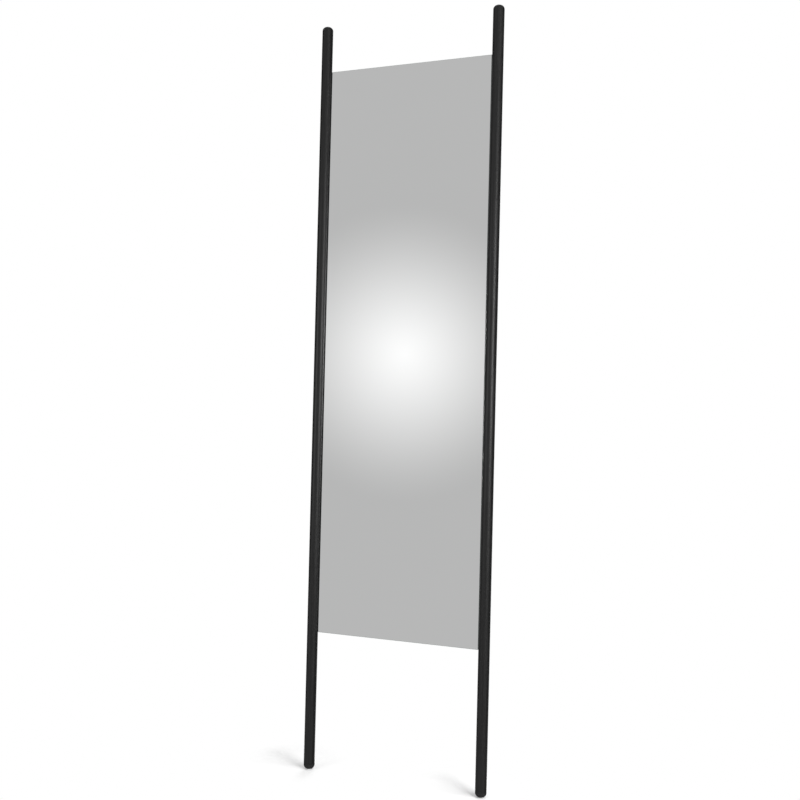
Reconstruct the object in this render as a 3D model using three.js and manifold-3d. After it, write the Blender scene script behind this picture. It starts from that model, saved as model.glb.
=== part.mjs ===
// A leaning floor mirror. Two round poles stand on rubber feet and lean back against a wall, and a
// frameless sheet of mirror glass is held between them. The glass is taped to a board, and the board is
// screwed from behind into a rebate in each pole.
//
// The pieces are laid out in the mirror's own frame: x across, y towards the wall, z along the poles, with
// the poles' lower tips at z = 0. The whole frame is then leaned back and stood on the floor.

import * as THREE from 'three';
import { mergeVertices } from 'three/addons/utils/BufferGeometryUtils.js';
import Module from 'manifold-3d';

const wasm = await Module();
wasm.setup();

// ---- Driving dimensions, in millimetres and degrees ----

const LEAN = 3.6; // the poles' slope from upright, in degrees

const POLE_DIAMETER = 27;
const POLE_BELOW_GLASS = 340; // from the lower tip to the glass
const POLE_ABOVE_GLASS = 115; // from the glass to the upper tip
const TIP_HEIGHT = 11; // how much of the pole its rounded tip takes up
const TIP_POWER = 2.2; // 2 is an elliptical dome, and more is flatter with tighter corners

const GLASS_WIDTH = 420;
const GLASS_HEIGHT = 1400;
const GLASS_THICKNESS = 4;
const GLASS_ARRIS = 0.8; // the ground corner along each edge
const GLASS_SETBACK = 0.5; // from the poles' axes back to the face of the glass

const EDGE_STRIP_THICKNESS = 0.8;

const TAPE_THICKNESS = 1;
const TAPE_WIDTH = 20;
const TAPE_SIDE_MARGIN = 50; // from the glass's sides to the outer tapes
const TAPE_END_MARGIN = 50; // from the tape's ends to the board's

const BOARD_THICKNESS = 6;
const BOARD_INSET = 4; // from the glass's top and bottom to the board's
const BOARD_EDGE_OFFSET = 2; // from a pole's axis inward to the board's edge

const SCREWS_PER_SIDE = 5;
const SCREW_LENGTH = 16;
const SCREW_DIAMETER = 3;
const SCREW_HEAD_DIAMETER = 6;
const SCREW_HEAD_HEIGHT = 1.8;
const SCREW_POINT_HEIGHT = 2.5;
const SCREW_RECESS_DEPTH = 0.9; // the square socket in the head
const SCREW_RECESS_WIDTH = 1.8;
const SCREW_EDGE_DISTANCE = 5.5; // from the board's edge to its screws
const SCREW_END_DISTANCE = 60; // from the board's top and bottom to the nearest screws

const FOOT_HEIGHT = 14; // the rubber below the wood
const FOOT_SPIGOT_DIAMETER = 8;
const FOOT_SPIGOT_LENGTH = 18;
const SOLE_DEPTH = 0.8; // how far the tip is trimmed to lie flat on the floor

const BUMPER_DIAMETER = 12;
const BUMPER_BELOW_TIP = 40;
const BUMPER_SEAT = 11.5; // from the pole's axis back to the floor of the bumper's recess
const BUMPER_STEM_DIAMETER = 5;
const BUMPER_STEM_LENGTH = 7;
const WALL_STANDOFF = 1; // from the poles' rearmost point to the wall

const PLATE_WIDTH = 50;
const PLATE_HEIGHT = 14;
const PLATE_THICKNESS = 1.2;
const PLATE_BELOW_BOARD_TOP = 40; // from the board's top to the plate's middle
const PLATE_SCREW_SPACING = 38;
const PLATE_SCREW_LENGTH = 6;
const PLATE_SCREW_HEAD_HEIGHT = 1;
const BRIDGE_WIDTH = 22; // between the feet of the plate's raised middle
const BRIDGE_RISE = 1.8; // the room for a strap under it

const FIT = 0.3; // clearance between pieces that seat on or in each other
const POLE_SIDES = 40;
const SMALL_SIDES = 16;
const TIP_STEPS = 8;
const WELD = 1e-4; // points nearer than this are one point

// ---- Sizes and places that follow ----

const lean = THREE.MathUtils.degToRad(LEAN);
const poleRadius = POLE_DIAMETER / 2;
const poleLength = POLE_BELOW_GLASS + GLASS_HEIGHT + POLE_ABOVE_GLASS;
const stripX = GLASS_WIDTH / 2 + FIT + EDGE_STRIP_THICKNESS / 2;
const poleX = stripX + EDGE_STRIP_THICKNESS / 2 + FIT + poleRadius;

const glassTop = POLE_BELOW_GLASS + GLASS_HEIGHT;
const glassMiddle = (POLE_BELOW_GLASS + glassTop) / 2;
const glassFront = GLASS_SETBACK;
const glassBack = glassFront + GLASS_THICKNESS;
const tapeBack = glassBack + FIT + TAPE_THICKNESS;

const boardFront = tapeBack + FIT;
const boardBack = boardFront + BOARD_THICKNESS;
const boardBottom = POLE_BELOW_GLASS + BOARD_INSET;
const boardTop = glassTop - BOARD_INSET;
const boardHeight = boardTop - boardBottom;
const boardHalfWidth = poleX - BOARD_EDGE_OFFSET;
const rebateShoulder = boardFront - FIT;

const screwX = boardHalfWidth - SCREW_EDGE_DISTANCE;
const screwHeadTop = boardBack - FIT;
const bumperZ = poleLength - BUMPER_BELOW_TIP;
const plateZ = boardTop - PLATE_BELOW_BOARD_TOP;
const plateFront = boardBack + FIT;
const plateBack = plateFront + PLATE_THICKNESS;
const tapeX = GLASS_WIDTH / 2 - TAPE_SIDE_MARGIN - TAPE_WIDTH / 2;
const plateScrewX = PLATE_SCREW_SPACING / 2;
const roomSize = 2 * poleLength; // large enough to trim anything at the floor or the wall

// ---- Materials ----

const blackWood = new THREE.MeshStandardMaterial({ color: 0x2b2b2c, roughness: 0.5, metalness: 0 });
const mirrorGlass = new THREE.MeshStandardMaterial({ color: 0xc4c8c8, roughness: 0.03, metalness: 1 });
const blackRubber = new THREE.MeshStandardMaterial({ color: 0x18181a, roughness: 0.8, metalness: 0 });
const blackBoard = new THREE.MeshStandardMaterial({ color: 0x232324, roughness: 0.75, metalness: 0 });
const foamTape = new THREE.MeshStandardMaterial({ color: 0xe4e4e0, roughness: 0.9, metalness: 0 });
const plainSteel = new THREE.MeshStandardMaterial({ color: 0xa4a6a8, roughness: 0.35, metalness: 1 });

// ---- Solids: joining and cutting closed shapes ----

/** The solid that a closed geometry bounds, its shared points made one and its empty triangles dropped. */
function solid(geometry) {
  const bare = geometry.clone();
  bare.deleteAttribute('normal');
  bare.deleteAttribute('uv');
  const merged = mergeVertices(bare, WELD);
  const corners = merged.index.array;
  const kept = [];
  for (let i = 0; i < corners.length; i += 3) {
    const [a, b, c] = corners.slice(i, i + 3);
    if (a !== b && b !== c && c !== a) kept.push(a, b, c);
  }
  return new wasm.Manifold(new wasm.Mesh({
    numProp: 3,
    vertProperties: Float32Array.from(merged.attributes.position.array),
    triVerts: Uint32Array.from(kept),
  }));
}

/** The geometry of a solid's surface. */
function surface(body) {
  const faces = body.getMesh();
  const geometry = new THREE.BufferGeometry();
  geometry.setAttribute('position', new THREE.BufferAttribute(faces.vertProperties, 3));
  geometry.setIndex(new THREE.BufferAttribute(faces.triVerts, 1));
  geometry.computeVertexNormals();
  return geometry;
}

/** The geometry that is left of one shape once others are cut out of it. */
function cut(geometry, tools) {
  const left = tools.reduce((body, tool) => body.subtract(solid(tool)), solid(geometry));
  return surface(left);
}

/** A box between two corners. */
function block(low, high) {
  const size = new THREE.Vector3().subVectors(high, low);
  const middle = new THREE.Vector3().addVectors(low, high).divideScalar(2);
  return new THREE.BoxGeometry(size.x, size.y, size.z).translate(middle.x, middle.y, middle.z);
}

/** A shape turned about the y axis from [radius, y] points, which rise from the axis back to the axis. */
function turned(profile, sides) {
  return new THREE.LatheGeometry(profile.map(([radius, y]) => new THREE.Vector2(radius, y)), sides);
}

/** A shape turned about the z axis. */
function turnedUpright(profile, sides) {
  return turned(profile, sides).rotateX(Math.PI / 2);
}

/** The profile of a plain rod from one end to the other. */
function rod(radius, start, end) {
  return [[0, start], [radius, start], [radius, end], [0, end]];
}

/** [radius, depth] points of a rounded tip, from its crown on the axis out to the pole's side. */
function tipCurve() {
  return Array.from({ length: TIP_STEPS + 1 }, (_, step) => {
    const turn = (step / TIP_STEPS) * (Math.PI / 2);
    const radius = poleRadius * Math.sin(turn) ** (2 / TIP_POWER);
    const depth = TIP_HEIGHT * (1 - Math.max(Math.cos(turn), 0) ** (2 / TIP_POWER));
    return [step === 0 ? 0 : radius, depth];
  });
}

// ---- Where the floor and the wall are ----

const lowestTip = Math.min(...tipCurve().map(([radius, depth]) => (
  depth * Math.cos(lean) - radius * Math.sin(lean)
)));
const rearmostTip = Math.max(...tipCurve().map(([radius, depth]) => (
  radius * Math.cos(lean) + (poleLength - depth) * Math.sin(lean)
)));
const wallY = rearmostTip + WALL_STANDOFF;

const leaning = new THREE.Group();
leaning.rotation.x = -lean;
leaning.position.z = -(lowestTip + SOLE_DEPTH);
leaning.updateMatrix();
const roomToFrame = leaning.matrix.clone().invert();

/** All that is below the floor, in the mirror's own frame. */
function underFloor() {
  return new THREE.BoxGeometry(roomSize, roomSize, roomSize)
    .translate(0, 0, -roomSize / 2)
    .applyMatrix4(roomToFrame);
}

/** All that is behind the wall's face, in the mirror's own frame. */
function insideWall() {
  return new THREE.BoxGeometry(roomSize, roomSize, roomSize)
    .translate(0, wallY + roomSize / 2, 0)
    .applyMatrix4(roomToFrame);
}

// ---- Pieces ----

/** Names a piece, gives it its material and stands it in the leaning frame. */
function place(name, geometry, material) {
  const piece = new THREE.Mesh(geometry, material);
  piece.name = name;
  leaning.add(piece);
}

/** The heights of the screws that hold the board to a pole. */
function screwHeights() {
  const first = boardBottom + SCREW_END_DISTANCE;
  const step = (boardHeight - 2 * SCREW_END_DISTANCE) / (SCREWS_PER_SIDE - 1);
  return Array.from({ length: SCREWS_PER_SIDE }, (_, i) => first + i * step);
}

/** A round pole with a domed top, a rebate for the board, and holes for its foot, bumper and screws. */
function pole(side) {
  const x = side * poleX;
  const woodBottom = FOOT_HEIGHT + FIT;
  const top = tipCurve().reverse().map(([radius, depth]) => [radius, poleLength - depth]);
  const profile = [[0, woodBottom], [poleRadius, woodBottom], ...top];
  const body = turnedUpright(profile, POLE_SIDES).translate(x, 0, 0);
  const inner = side * (poleX - POLE_DIAMETER);
  const outer = side * (boardHalfWidth + FIT);
  const rebate = block(
    new THREE.Vector3(Math.min(inner, outer), rebateShoulder, boardBottom - FIT),
    new THREE.Vector3(Math.max(inner, outer), Math.max(boardBack, poleRadius) + poleRadius, boardTop + FIT),
  );
  const spigotEnd = FOOT_HEIGHT + FOOT_SPIGOT_LENGTH + 2 * FIT;
  const footHole = turnedUpright(rod(FOOT_SPIGOT_DIAMETER / 2 + FIT, 0, spigotEnd), SMALL_SIDES);
  const stemEnd = BUMPER_SEAT - BUMPER_STEM_LENGTH - FIT;
  const bumperHoles = [
    turned(rod(BUMPER_STEM_DIAMETER / 2 + FIT, stemEnd, POLE_DIAMETER), SMALL_SIDES),
    turned(rod(BUMPER_DIAMETER / 2 + FIT, BUMPER_SEAT, POLE_DIAMETER), SMALL_SIDES),
  ].map((hole) => hole.translate(x, 0, bumperZ));
  return cut(body, [rebate, footHole.translate(x, 0, 0), ...bumperHoles, ...boardScrewHoles(side)]);
}

/** A rubber foot: a domed plug as wide as the pole, its spigot in the wood and its sole flat on the floor. */
function footPad(side) {
  const spigotRadius = FOOT_SPIGOT_DIAMETER / 2;
  const spigotTop = FOOT_HEIGHT + FOOT_SPIGOT_LENGTH;
  const pad = turnedUpright([
    ...tipCurve(),
    [poleRadius, FOOT_HEIGHT],
    [spigotRadius, FOOT_HEIGHT],
    [spigotRadius, spigotTop],
    [0, spigotTop],
  ], POLE_SIDES).translate(side * poleX, 0, 0);
  return cut(pad, [underFloor()]);
}

/** A rubber bumper: a disc let into the pole's back, its stem in the wood and its face flat on the wall. */
function wallBumper(side) {
  const discFront = BUMPER_SEAT + FIT;
  const stemRadius = BUMPER_STEM_DIAMETER / 2;
  const bumper = turned([
    [0, BUMPER_SEAT - BUMPER_STEM_LENGTH],
    [stemRadius, BUMPER_SEAT - BUMPER_STEM_LENGTH],
    [stemRadius, discFront],
    [BUMPER_DIAMETER / 2, discFront],
    [BUMPER_DIAMETER / 2, discFront + POLE_DIAMETER],
    [0, discFront + POLE_DIAMETER],
  ], SMALL_SIDES).translate(side * poleX, 0, bumperZ);
  return cut(bumper, [insideWall()]);
}

/** The sheet of mirror glass, with a ground arris round both faces. */
function glassSheet() {
  const halfWidth = GLASS_WIDTH / 2 - GLASS_ARRIS;
  const halfHeight = GLASS_HEIGHT / 2 - GLASS_ARRIS;
  const outline = new THREE.Shape();
  outline.moveTo(-halfWidth, -halfHeight);
  outline.lineTo(halfWidth, -halfHeight);
  outline.lineTo(halfWidth, halfHeight);
  outline.lineTo(-halfWidth, halfHeight);
  outline.closePath();
  const sheet = new THREE.ExtrudeGeometry(outline, {
    depth: GLASS_THICKNESS - 2 * GLASS_ARRIS,
    bevelThickness: GLASS_ARRIS,
    bevelSize: GLASS_ARRIS,
    bevelSegments: 1,
    steps: 1,
  });
  sheet.rotateX(Math.PI / 2).translate(0, glassBack - GLASS_ARRIS, glassMiddle);
  return surface(solid(sheet));
}

/** The black strip that fills the joint between a pole and the glass. */
function edgeStrip(side) {
  return block(
    new THREE.Vector3(side * stripX - EDGE_STRIP_THICKNESS / 2, glassFront, POLE_BELOW_GLASS),
    new THREE.Vector3(side * stripX + EDGE_STRIP_THICKNESS / 2, rebateShoulder, glassTop),
  );
}

/** A strip of foam tape between the glass and the board. */
function tape(x) {
  return block(
    new THREE.Vector3(x - TAPE_WIDTH / 2, glassBack + FIT, boardBottom + TAPE_END_MARGIN),
    new THREE.Vector3(x + TAPE_WIDTH / 2, tapeBack, boardTop - TAPE_END_MARGIN),
  );
}

/** [radius, y] points of a countersunk screw or its hole, from the point to the head's flat top at y = 0. */
function screwProfile(length, headHeight, clearance) {
  const shank = SCREW_DIAMETER / 2 + clearance;
  const head = SCREW_HEAD_DIAMETER / 2 + clearance;
  const end = -length - clearance;
  const mouth = clearance > 0 ? BOARD_THICKNESS : 0; // a hole runs on past the board's face
  const profile = [
    [0, end],
    [shank, end + SCREW_POINT_HEIGHT],
    [shank, -headHeight],
    [head, 0],
    [head, mouth],
    [0, mouth],
  ];
  return clearance > 0 ? profile : profile.filter((_, i) => i !== 4);
}

/** The hole that a countersunk screw needs. */
function screwHole(length, headHeight) {
  return turned(screwProfile(length, headHeight, FIT), SMALL_SIDES);
}

/** The holes for the screws that hold the board to one pole. */
function boardScrewHoles(side) {
  return screwHeights().map((z) => (
    screwHole(SCREW_LENGTH, SCREW_HEAD_HEIGHT).translate(side * screwX, screwHeadTop, z)
  ));
}

/** A countersunk screw with a square socket, its head's top at the given place. */
function screw(length, headHeight, x, y, z) {
  const body = turned(screwProfile(length, headHeight, 0), SMALL_SIDES);
  const half = SCREW_RECESS_WIDTH / 2;
  const socket = block(
    new THREE.Vector3(-half, -SCREW_RECESS_DEPTH, -half),
    new THREE.Vector3(half, SCREW_HEAD_HEIGHT, half),
  );
  return cut(body, [socket]).translate(x, y, z);
}

/** The steel plate on the board's back: two flat feet and a raised bridge, for a strap to the wall. */
function strapPlate() {
  const end = PLATE_WIDTH / 2;
  const foot = BRIDGE_WIDTH / 2;
  const crown = foot - BRIDGE_RISE; // the bridge rises at 45 degrees
  const miter = PLATE_THICKNESS * Math.tan(Math.PI / 8);
  const boardSide = [[end, 0], [foot, 0], [crown, BRIDGE_RISE]];
  const wallSide = [[crown + miter, BRIDGE_RISE + PLATE_THICKNESS], [foot + miter, PLATE_THICKNESS]];
  const rightHalf = [...wallSide, [end, PLATE_THICKNESS], ...boardSide];
  const leftHalf = rightHalf.map(([x, y]) => [-x, y]).reverse();
  const outline = new THREE.Shape([...rightHalf, ...leftHalf].map(([x, y]) => new THREE.Vector2(x, y)));
  const plate = new THREE.ExtrudeGeometry(outline, { depth: PLATE_HEIGHT, bevelEnabled: false });
  plate.translate(0, plateFront, plateZ - PLATE_HEIGHT / 2);
  return cut(plate, plateScrewHoles());
}

/** The holes that the plate's two screws need. */
function plateScrewHoles() {
  return [-plateScrewX, plateScrewX].map((x) => (
    screwHole(PLATE_SCREW_LENGTH, PLATE_SCREW_HEAD_HEIGHT).translate(x, plateBack, plateZ)
  ));
}

/** The board behind the glass, with its screw holes. */
function backBoard() {
  const board = block(
    new THREE.Vector3(-boardHalfWidth, boardFront, boardBottom),
    new THREE.Vector3(boardHalfWidth, boardBack, boardTop),
  );
  return cut(board, [...boardScrewHoles(-1), ...boardScrewHoles(1), ...plateScrewHoles()]);
}

// ---- The assembly ----

for (const [sideName, side] of [['left', -1], ['right', 1]]) {
  place(`${sideName}_pole`, pole(side), blackWood);
  place(`${sideName}_foot_pad`, footPad(side), blackRubber);
  place(`${sideName}_wall_bumper`, wallBumper(side), blackRubber);
  place(`${sideName}_edge_strip`, edgeStrip(side), blackRubber);
  screwHeights().forEach((z, i) => {
    const fastener = screw(SCREW_LENGTH, SCREW_HEAD_HEIGHT, side * screwX, screwHeadTop, z);
    place(`${sideName}_board_screw_${i + 1}`, fastener, plainSteel);
  });
  const plateFastenerX = side * plateScrewX;
  const plateFastener = screw(PLATE_SCREW_LENGTH, PLATE_SCREW_HEAD_HEIGHT, plateFastenerX, plateBack, plateZ);
  place(`${sideName}_plate_screw`, plateFastener, plainSteel);
}
place('mirror_glass', glassSheet(), mirrorGlass);
place('back_board', backBoard(), blackBoard);
place('left_tape', tape(-tapeX), foamTape);
place('centre_tape', tape(0), foamTape);
place('right_tape', tape(tapeX), foamTape);
place('strap_plate', strapPlate(), plainSteel);

// The origin is on the floor, at the middle of the mirror's whole depth.
const mirror = new THREE.Group();
mirror.add(leaning);
const extent = new THREE.Box3().setFromObject(mirror, true);
mirror.position.y = -(extent.min.y + extent.max.y) / 2;

export default mirror;
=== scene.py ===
"""A leaning floor mirror, finished for the camera.

Two black poles lean back on rubber feet and hold a frameless sheet of mirror glass between them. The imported
solids are the frame, and every piece here is a finer surface that stands in the place of one of them. Pieces
are worked out in the mirror's own axes and then leaned back into the room. All sizes are in metres.
"""

import logging
import math
from dataclasses import dataclass, field
from enum import Enum
from typing import Any, Callable, Mapping, Sequence

import bpy
import numpy as np
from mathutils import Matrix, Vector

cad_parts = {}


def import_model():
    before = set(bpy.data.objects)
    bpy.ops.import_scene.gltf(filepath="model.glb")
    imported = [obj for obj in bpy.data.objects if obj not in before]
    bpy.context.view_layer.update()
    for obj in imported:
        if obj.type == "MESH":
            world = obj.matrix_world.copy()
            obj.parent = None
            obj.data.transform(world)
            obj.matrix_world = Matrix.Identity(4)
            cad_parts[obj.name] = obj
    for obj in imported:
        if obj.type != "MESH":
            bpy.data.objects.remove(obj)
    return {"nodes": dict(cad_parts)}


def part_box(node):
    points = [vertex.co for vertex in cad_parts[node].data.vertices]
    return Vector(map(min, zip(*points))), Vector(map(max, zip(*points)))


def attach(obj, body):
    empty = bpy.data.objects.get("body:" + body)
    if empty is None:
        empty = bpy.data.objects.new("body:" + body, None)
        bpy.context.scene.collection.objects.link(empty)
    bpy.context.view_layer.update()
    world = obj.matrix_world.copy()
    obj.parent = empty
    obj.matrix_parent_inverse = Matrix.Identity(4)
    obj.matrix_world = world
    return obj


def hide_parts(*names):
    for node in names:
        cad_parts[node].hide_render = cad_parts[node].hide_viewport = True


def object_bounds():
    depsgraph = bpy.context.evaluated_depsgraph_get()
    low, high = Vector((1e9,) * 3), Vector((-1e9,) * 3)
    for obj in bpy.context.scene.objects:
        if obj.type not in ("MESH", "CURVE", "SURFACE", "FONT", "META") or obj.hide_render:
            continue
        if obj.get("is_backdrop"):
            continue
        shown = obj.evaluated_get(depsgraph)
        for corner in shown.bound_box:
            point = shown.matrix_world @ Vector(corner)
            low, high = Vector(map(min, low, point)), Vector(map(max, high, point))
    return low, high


log = logging.getLogger("leaning_mirror")

LEAN = math.radians(3.6)  # the poles' slope from upright
GLASS_MIDDLE = 1.040  # from the poles' lower tips up to the middle of the glass
FIT = 0.0003  # clearance between pieces that seat on or in each other
SMOOTH_ANGLE = math.radians(32)  # edges sharper than this stay crisp
SHEET_CORNER_POINTS = 5  # in each quarter circle of a sheet's corners
LEAST_CORNER = 1 / 8  # the share of its corners' radius that a sheet keeps, however far it is inset
CROWN_START = 0.02  # a tip's first ring, as the turn from its axis in radians
SCREW_POINTS = 48  # round each ring of a screw
WHITE = (1.0, 1.0, 1.0)


class Side(Enum):
    """The two sides of the mirror, as seen from the front. The value is the sign of x."""

    LEFT = -1
    RIGHT = 1

    @property
    def word(self) -> str:
        """The side's name, as the nodes have it."""
        return self.name.lower()


# ---- The mirror's own axes ----


@dataclass(frozen=True)
class LeaningAxes:
    """The mirror's own axes: x across, y towards the wall and z along the poles, leaned back in the room."""

    lean: float
    origin: np.ndarray

    @classmethod
    def of_glass(cls, lean: float, back: float, up: float) -> "LeaningAxes":
        """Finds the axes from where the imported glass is.

        Args:
            lean: the slope of the poles from upright.
            back: how far behind the poles' axes the middle of the glass is.
            up: how far up the poles the middle of the glass is.

        Returns:
            Axes whose origin is between the poles' axes, level with their lower tips.
        """
        low, high = (np.array(corner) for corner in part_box("mirror_glass"))
        to_wall = np.array([0.0, math.cos(lean), -math.sin(lean)])
        along = np.array([0.0, math.sin(lean), math.cos(lean)])
        return cls(lean, (low + high) / 2 - back * to_wall - up * along)

    def to_room(self, points: np.ndarray) -> np.ndarray:
        """Turns points by the lean about x, then moves them to the origin."""
        sine, cosine = math.sin(self.lean), math.cos(self.lean)
        turn = np.array([[1, 0, 0], [0, cosine, -sine], [0, sine, cosine]])
        return points @ turn + self.origin


# ---- Surfaces ----


@dataclass
class Skin:
    """A closed surface of rings: vertices, faces, and each face's finish by number."""

    points: np.ndarray
    faces: list[list[int]]
    finishes: np.ndarray

    def moved(self, change: Callable[[np.ndarray], np.ndarray]) -> "Skin":
        """The same skin with its points changed by a function of all of them."""
        return Skin(change(self.points), self.faces, self.finishes)

    def shifted(self, offset: Sequence[float]) -> "Skin":
        """The same skin, moved by an offset."""
        return self.moved(lambda points: points + np.asarray(offset))


def ring_skin(rings: np.ndarray, finishes: Sequence[int] | None = None) -> Skin:
    """Joins rings into a closed skin.

    Point (i, j) is point j of ring i. Neighbouring rings are joined by quads that wrap round in j, and each
    end is closed by a fan about the middle of its ring. Rings that turn anticlockwise about the way they
    advance give faces that point outwards.

    Args:
        rings: points, as rings by points by 3.
        finishes: the finish of the first cap, of each band between rings, and of the last cap.

    Returns:
        The closed skin.
    """
    count, around = rings.shape[:2]
    middles = rings[[0, -1]].mean(axis=1)
    index = np.arange(count * around).reshape(count, around)
    ahead = np.roll(index, -1, axis=1)
    quads = np.stack([index[:-1], ahead[:-1], ahead[1:], index[1:]], axis=-1).reshape(-1, 4)
    first = np.stack([ahead[0], index[0], np.full(around, count * around)], axis=-1)
    last = np.stack([index[-1], ahead[-1], np.full(around, count * around + 1)], axis=-1)
    bands = np.zeros(count + 1, int) if finishes is None else np.asarray(finishes)
    faces = first.tolist() + quads.tolist() + last.tolist()
    return Skin(np.concatenate([rings.reshape(-1, 3), middles]), faces, np.repeat(bands, around))


def circle(count: int) -> np.ndarray:
    """A unit circle of points: the cosine and sine of evenly spaced turns."""
    turns = np.linspace(0, 2 * np.pi, count, endpoint=False)
    return np.stack([np.cos(turns), np.sin(turns)], axis=1)


def square(count: int) -> np.ndarray:
    """A square of half width 1: the unit circle's points, each divided by its larger coordinate."""
    points = circle(count)
    return points / np.abs(points).max(axis=1, keepdims=True)


def rounded_rectangle(half_width: float, half_height: float, radius: float, per_corner: int) -> np.ndarray:
    """A rectangle with round corners: four quarter circles, and straight sides between them.

    Args:
        half_width: half the size in the first direction.
        half_height: half the size in the second direction.
        radius: the corners' radius.
        per_corner: the points in each quarter circle.

    Returns:
        The outline's points, anticlockwise.
    """
    quarters = np.arange(4)[:, None] * np.pi / 2
    turns = quarters + np.linspace(0, np.pi / 2, per_corner)[None, :]
    signs = np.array([[1, 1], [-1, 1], [-1, -1], [1, -1]])[:, None, :]
    centres = signs * np.array([half_width - radius, half_height - radius])
    arcs = centres + radius * np.stack([np.cos(turns), np.sin(turns)], axis=-1)
    return arcs.reshape(-1, 2)


def stack(outlines: Sequence[np.ndarray], heights: Sequence[float]) -> np.ndarray:
    """Lays flat outlines at their heights: ring i is outline i with its height as the third coordinate."""
    flat = np.stack(outlines)
    lifted = np.broadcast_to(np.asarray(heights)[:, None, None], (*flat.shape[:2], 1))
    return np.concatenate([flat, lifted], axis=-1)


def lathe(profile: Sequence[tuple[float, float]], outline: np.ndarray) -> np.ndarray:
    """Turns a profile: each ring is the outline times the profile's radius, at the profile's height."""
    radii, heights = np.array(profile).T
    return stack([outline * radius for radius in radii], heights)


def slab(width: float, height: float, corner: float, steps: Sequence[tuple[float, float]]) -> np.ndarray:
    """A sheet with worked edges: rounded rectangles, each inset by a step's amount, at that step's depth."""
    outlines = []
    for inset, _ in steps:
        radius = max(corner - inset, corner * LEAST_CORNER)
        outlines.append(rounded_rectangle(width / 2 - inset, height / 2 - inset, radius, SHEET_CORNER_POINTS))
    return stack(outlines, [depth for _, depth in steps])


def facing_wall(points: np.ndarray) -> np.ndarray:
    """Turns what was built up along z to face the wall along y: (x, y, z) becomes (x, z, -y)."""
    return np.stack([points[..., 0], points[..., 2], -points[..., 1]], axis=-1)


def tip_curve(radius: float, height: float, power: float, steps: int) -> np.ndarray:
    """A rounded tip, from its crown out to the side.

    With t from 0 to a quarter turn, the radius is R sin(t)^(2/p), and the depth below the crown is
    h (1 - cos(t)^(2/p)), which is a superellipse.

    Args:
        radius: R, the pole's radius.
        height: h, the tip's height.
        power: p, 2 for an ellipse and more for a flatter crown.
        steps: how many points the curve has.

    Returns:
        (radius, depth) rows. The first is just beside the axis.
    """
    turn = np.linspace(CROWN_START, np.pi / 2, steps)
    across = radius * np.sin(turn) ** (2 / power)
    depth = height * (1 - np.clip(np.cos(turn), 0, 1) ** (2 / power))
    return np.stack([across, depth], axis=1)


# ---- Shader trees ----


class Maths(Enum):
    """The Math node's operations that the finishes use."""

    ADD = "ADD"
    SUBTRACT = "SUBTRACT"
    MULTIPLY = "MULTIPLY"
    DIVIDE = "DIVIDE"
    POWER = "POWER"
    ARCCOSINE = "ARCCOSINE"
    MAXIMUM = "MAXIMUM"
    MINIMUM = "MINIMUM"


class Vectors(Enum):
    """The Vector Math node's operations that the finishes use."""

    MULTIPLY = "MULTIPLY"
    SUBTRACT = "SUBTRACT"
    NORMALIZE = "NORMALIZE"
    DOT_PRODUCT = "DOT_PRODUCT"
    DISTANCE = "DISTANCE"


def operator_pair(operation: Maths) -> tuple[Callable, Callable]:
    """Makes an operator and its reflected form for the Value class.

    Args:
        operation: what the Math node does.

    Returns:
        A method for this value and the other, and one for the other and this value.
    """

    def method(self: "Value", other: "Value | float") -> "Value":
        """Adds a Math node on this value and the other."""
        return self.tree.maths(operation, self, other)

    def reflected(self: "Value", other: float) -> "Value":
        """Adds a Math node on the other and this value."""
        return self.tree.maths(operation, other, self)

    return method, reflected


class Value:
    """A number in a shader tree. Arithmetic on it adds Math nodes."""

    def __init__(self, tree: "ShaderTree", socket: bpy.types.NodeSocket) -> None:
        """Wraps an output socket of the tree."""
        self.tree = tree
        self.socket = socket

    __add__, __radd__ = operator_pair(Maths.ADD)
    __sub__, __rsub__ = operator_pair(Maths.SUBTRACT)
    __mul__, __rmul__ = operator_pair(Maths.MULTIPLY)
    __truediv__, __rtruediv__ = operator_pair(Maths.DIVIDE)
    __pow__, __rpow__ = operator_pair(Maths.POWER)


Colour = tuple[float, float, float]


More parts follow.
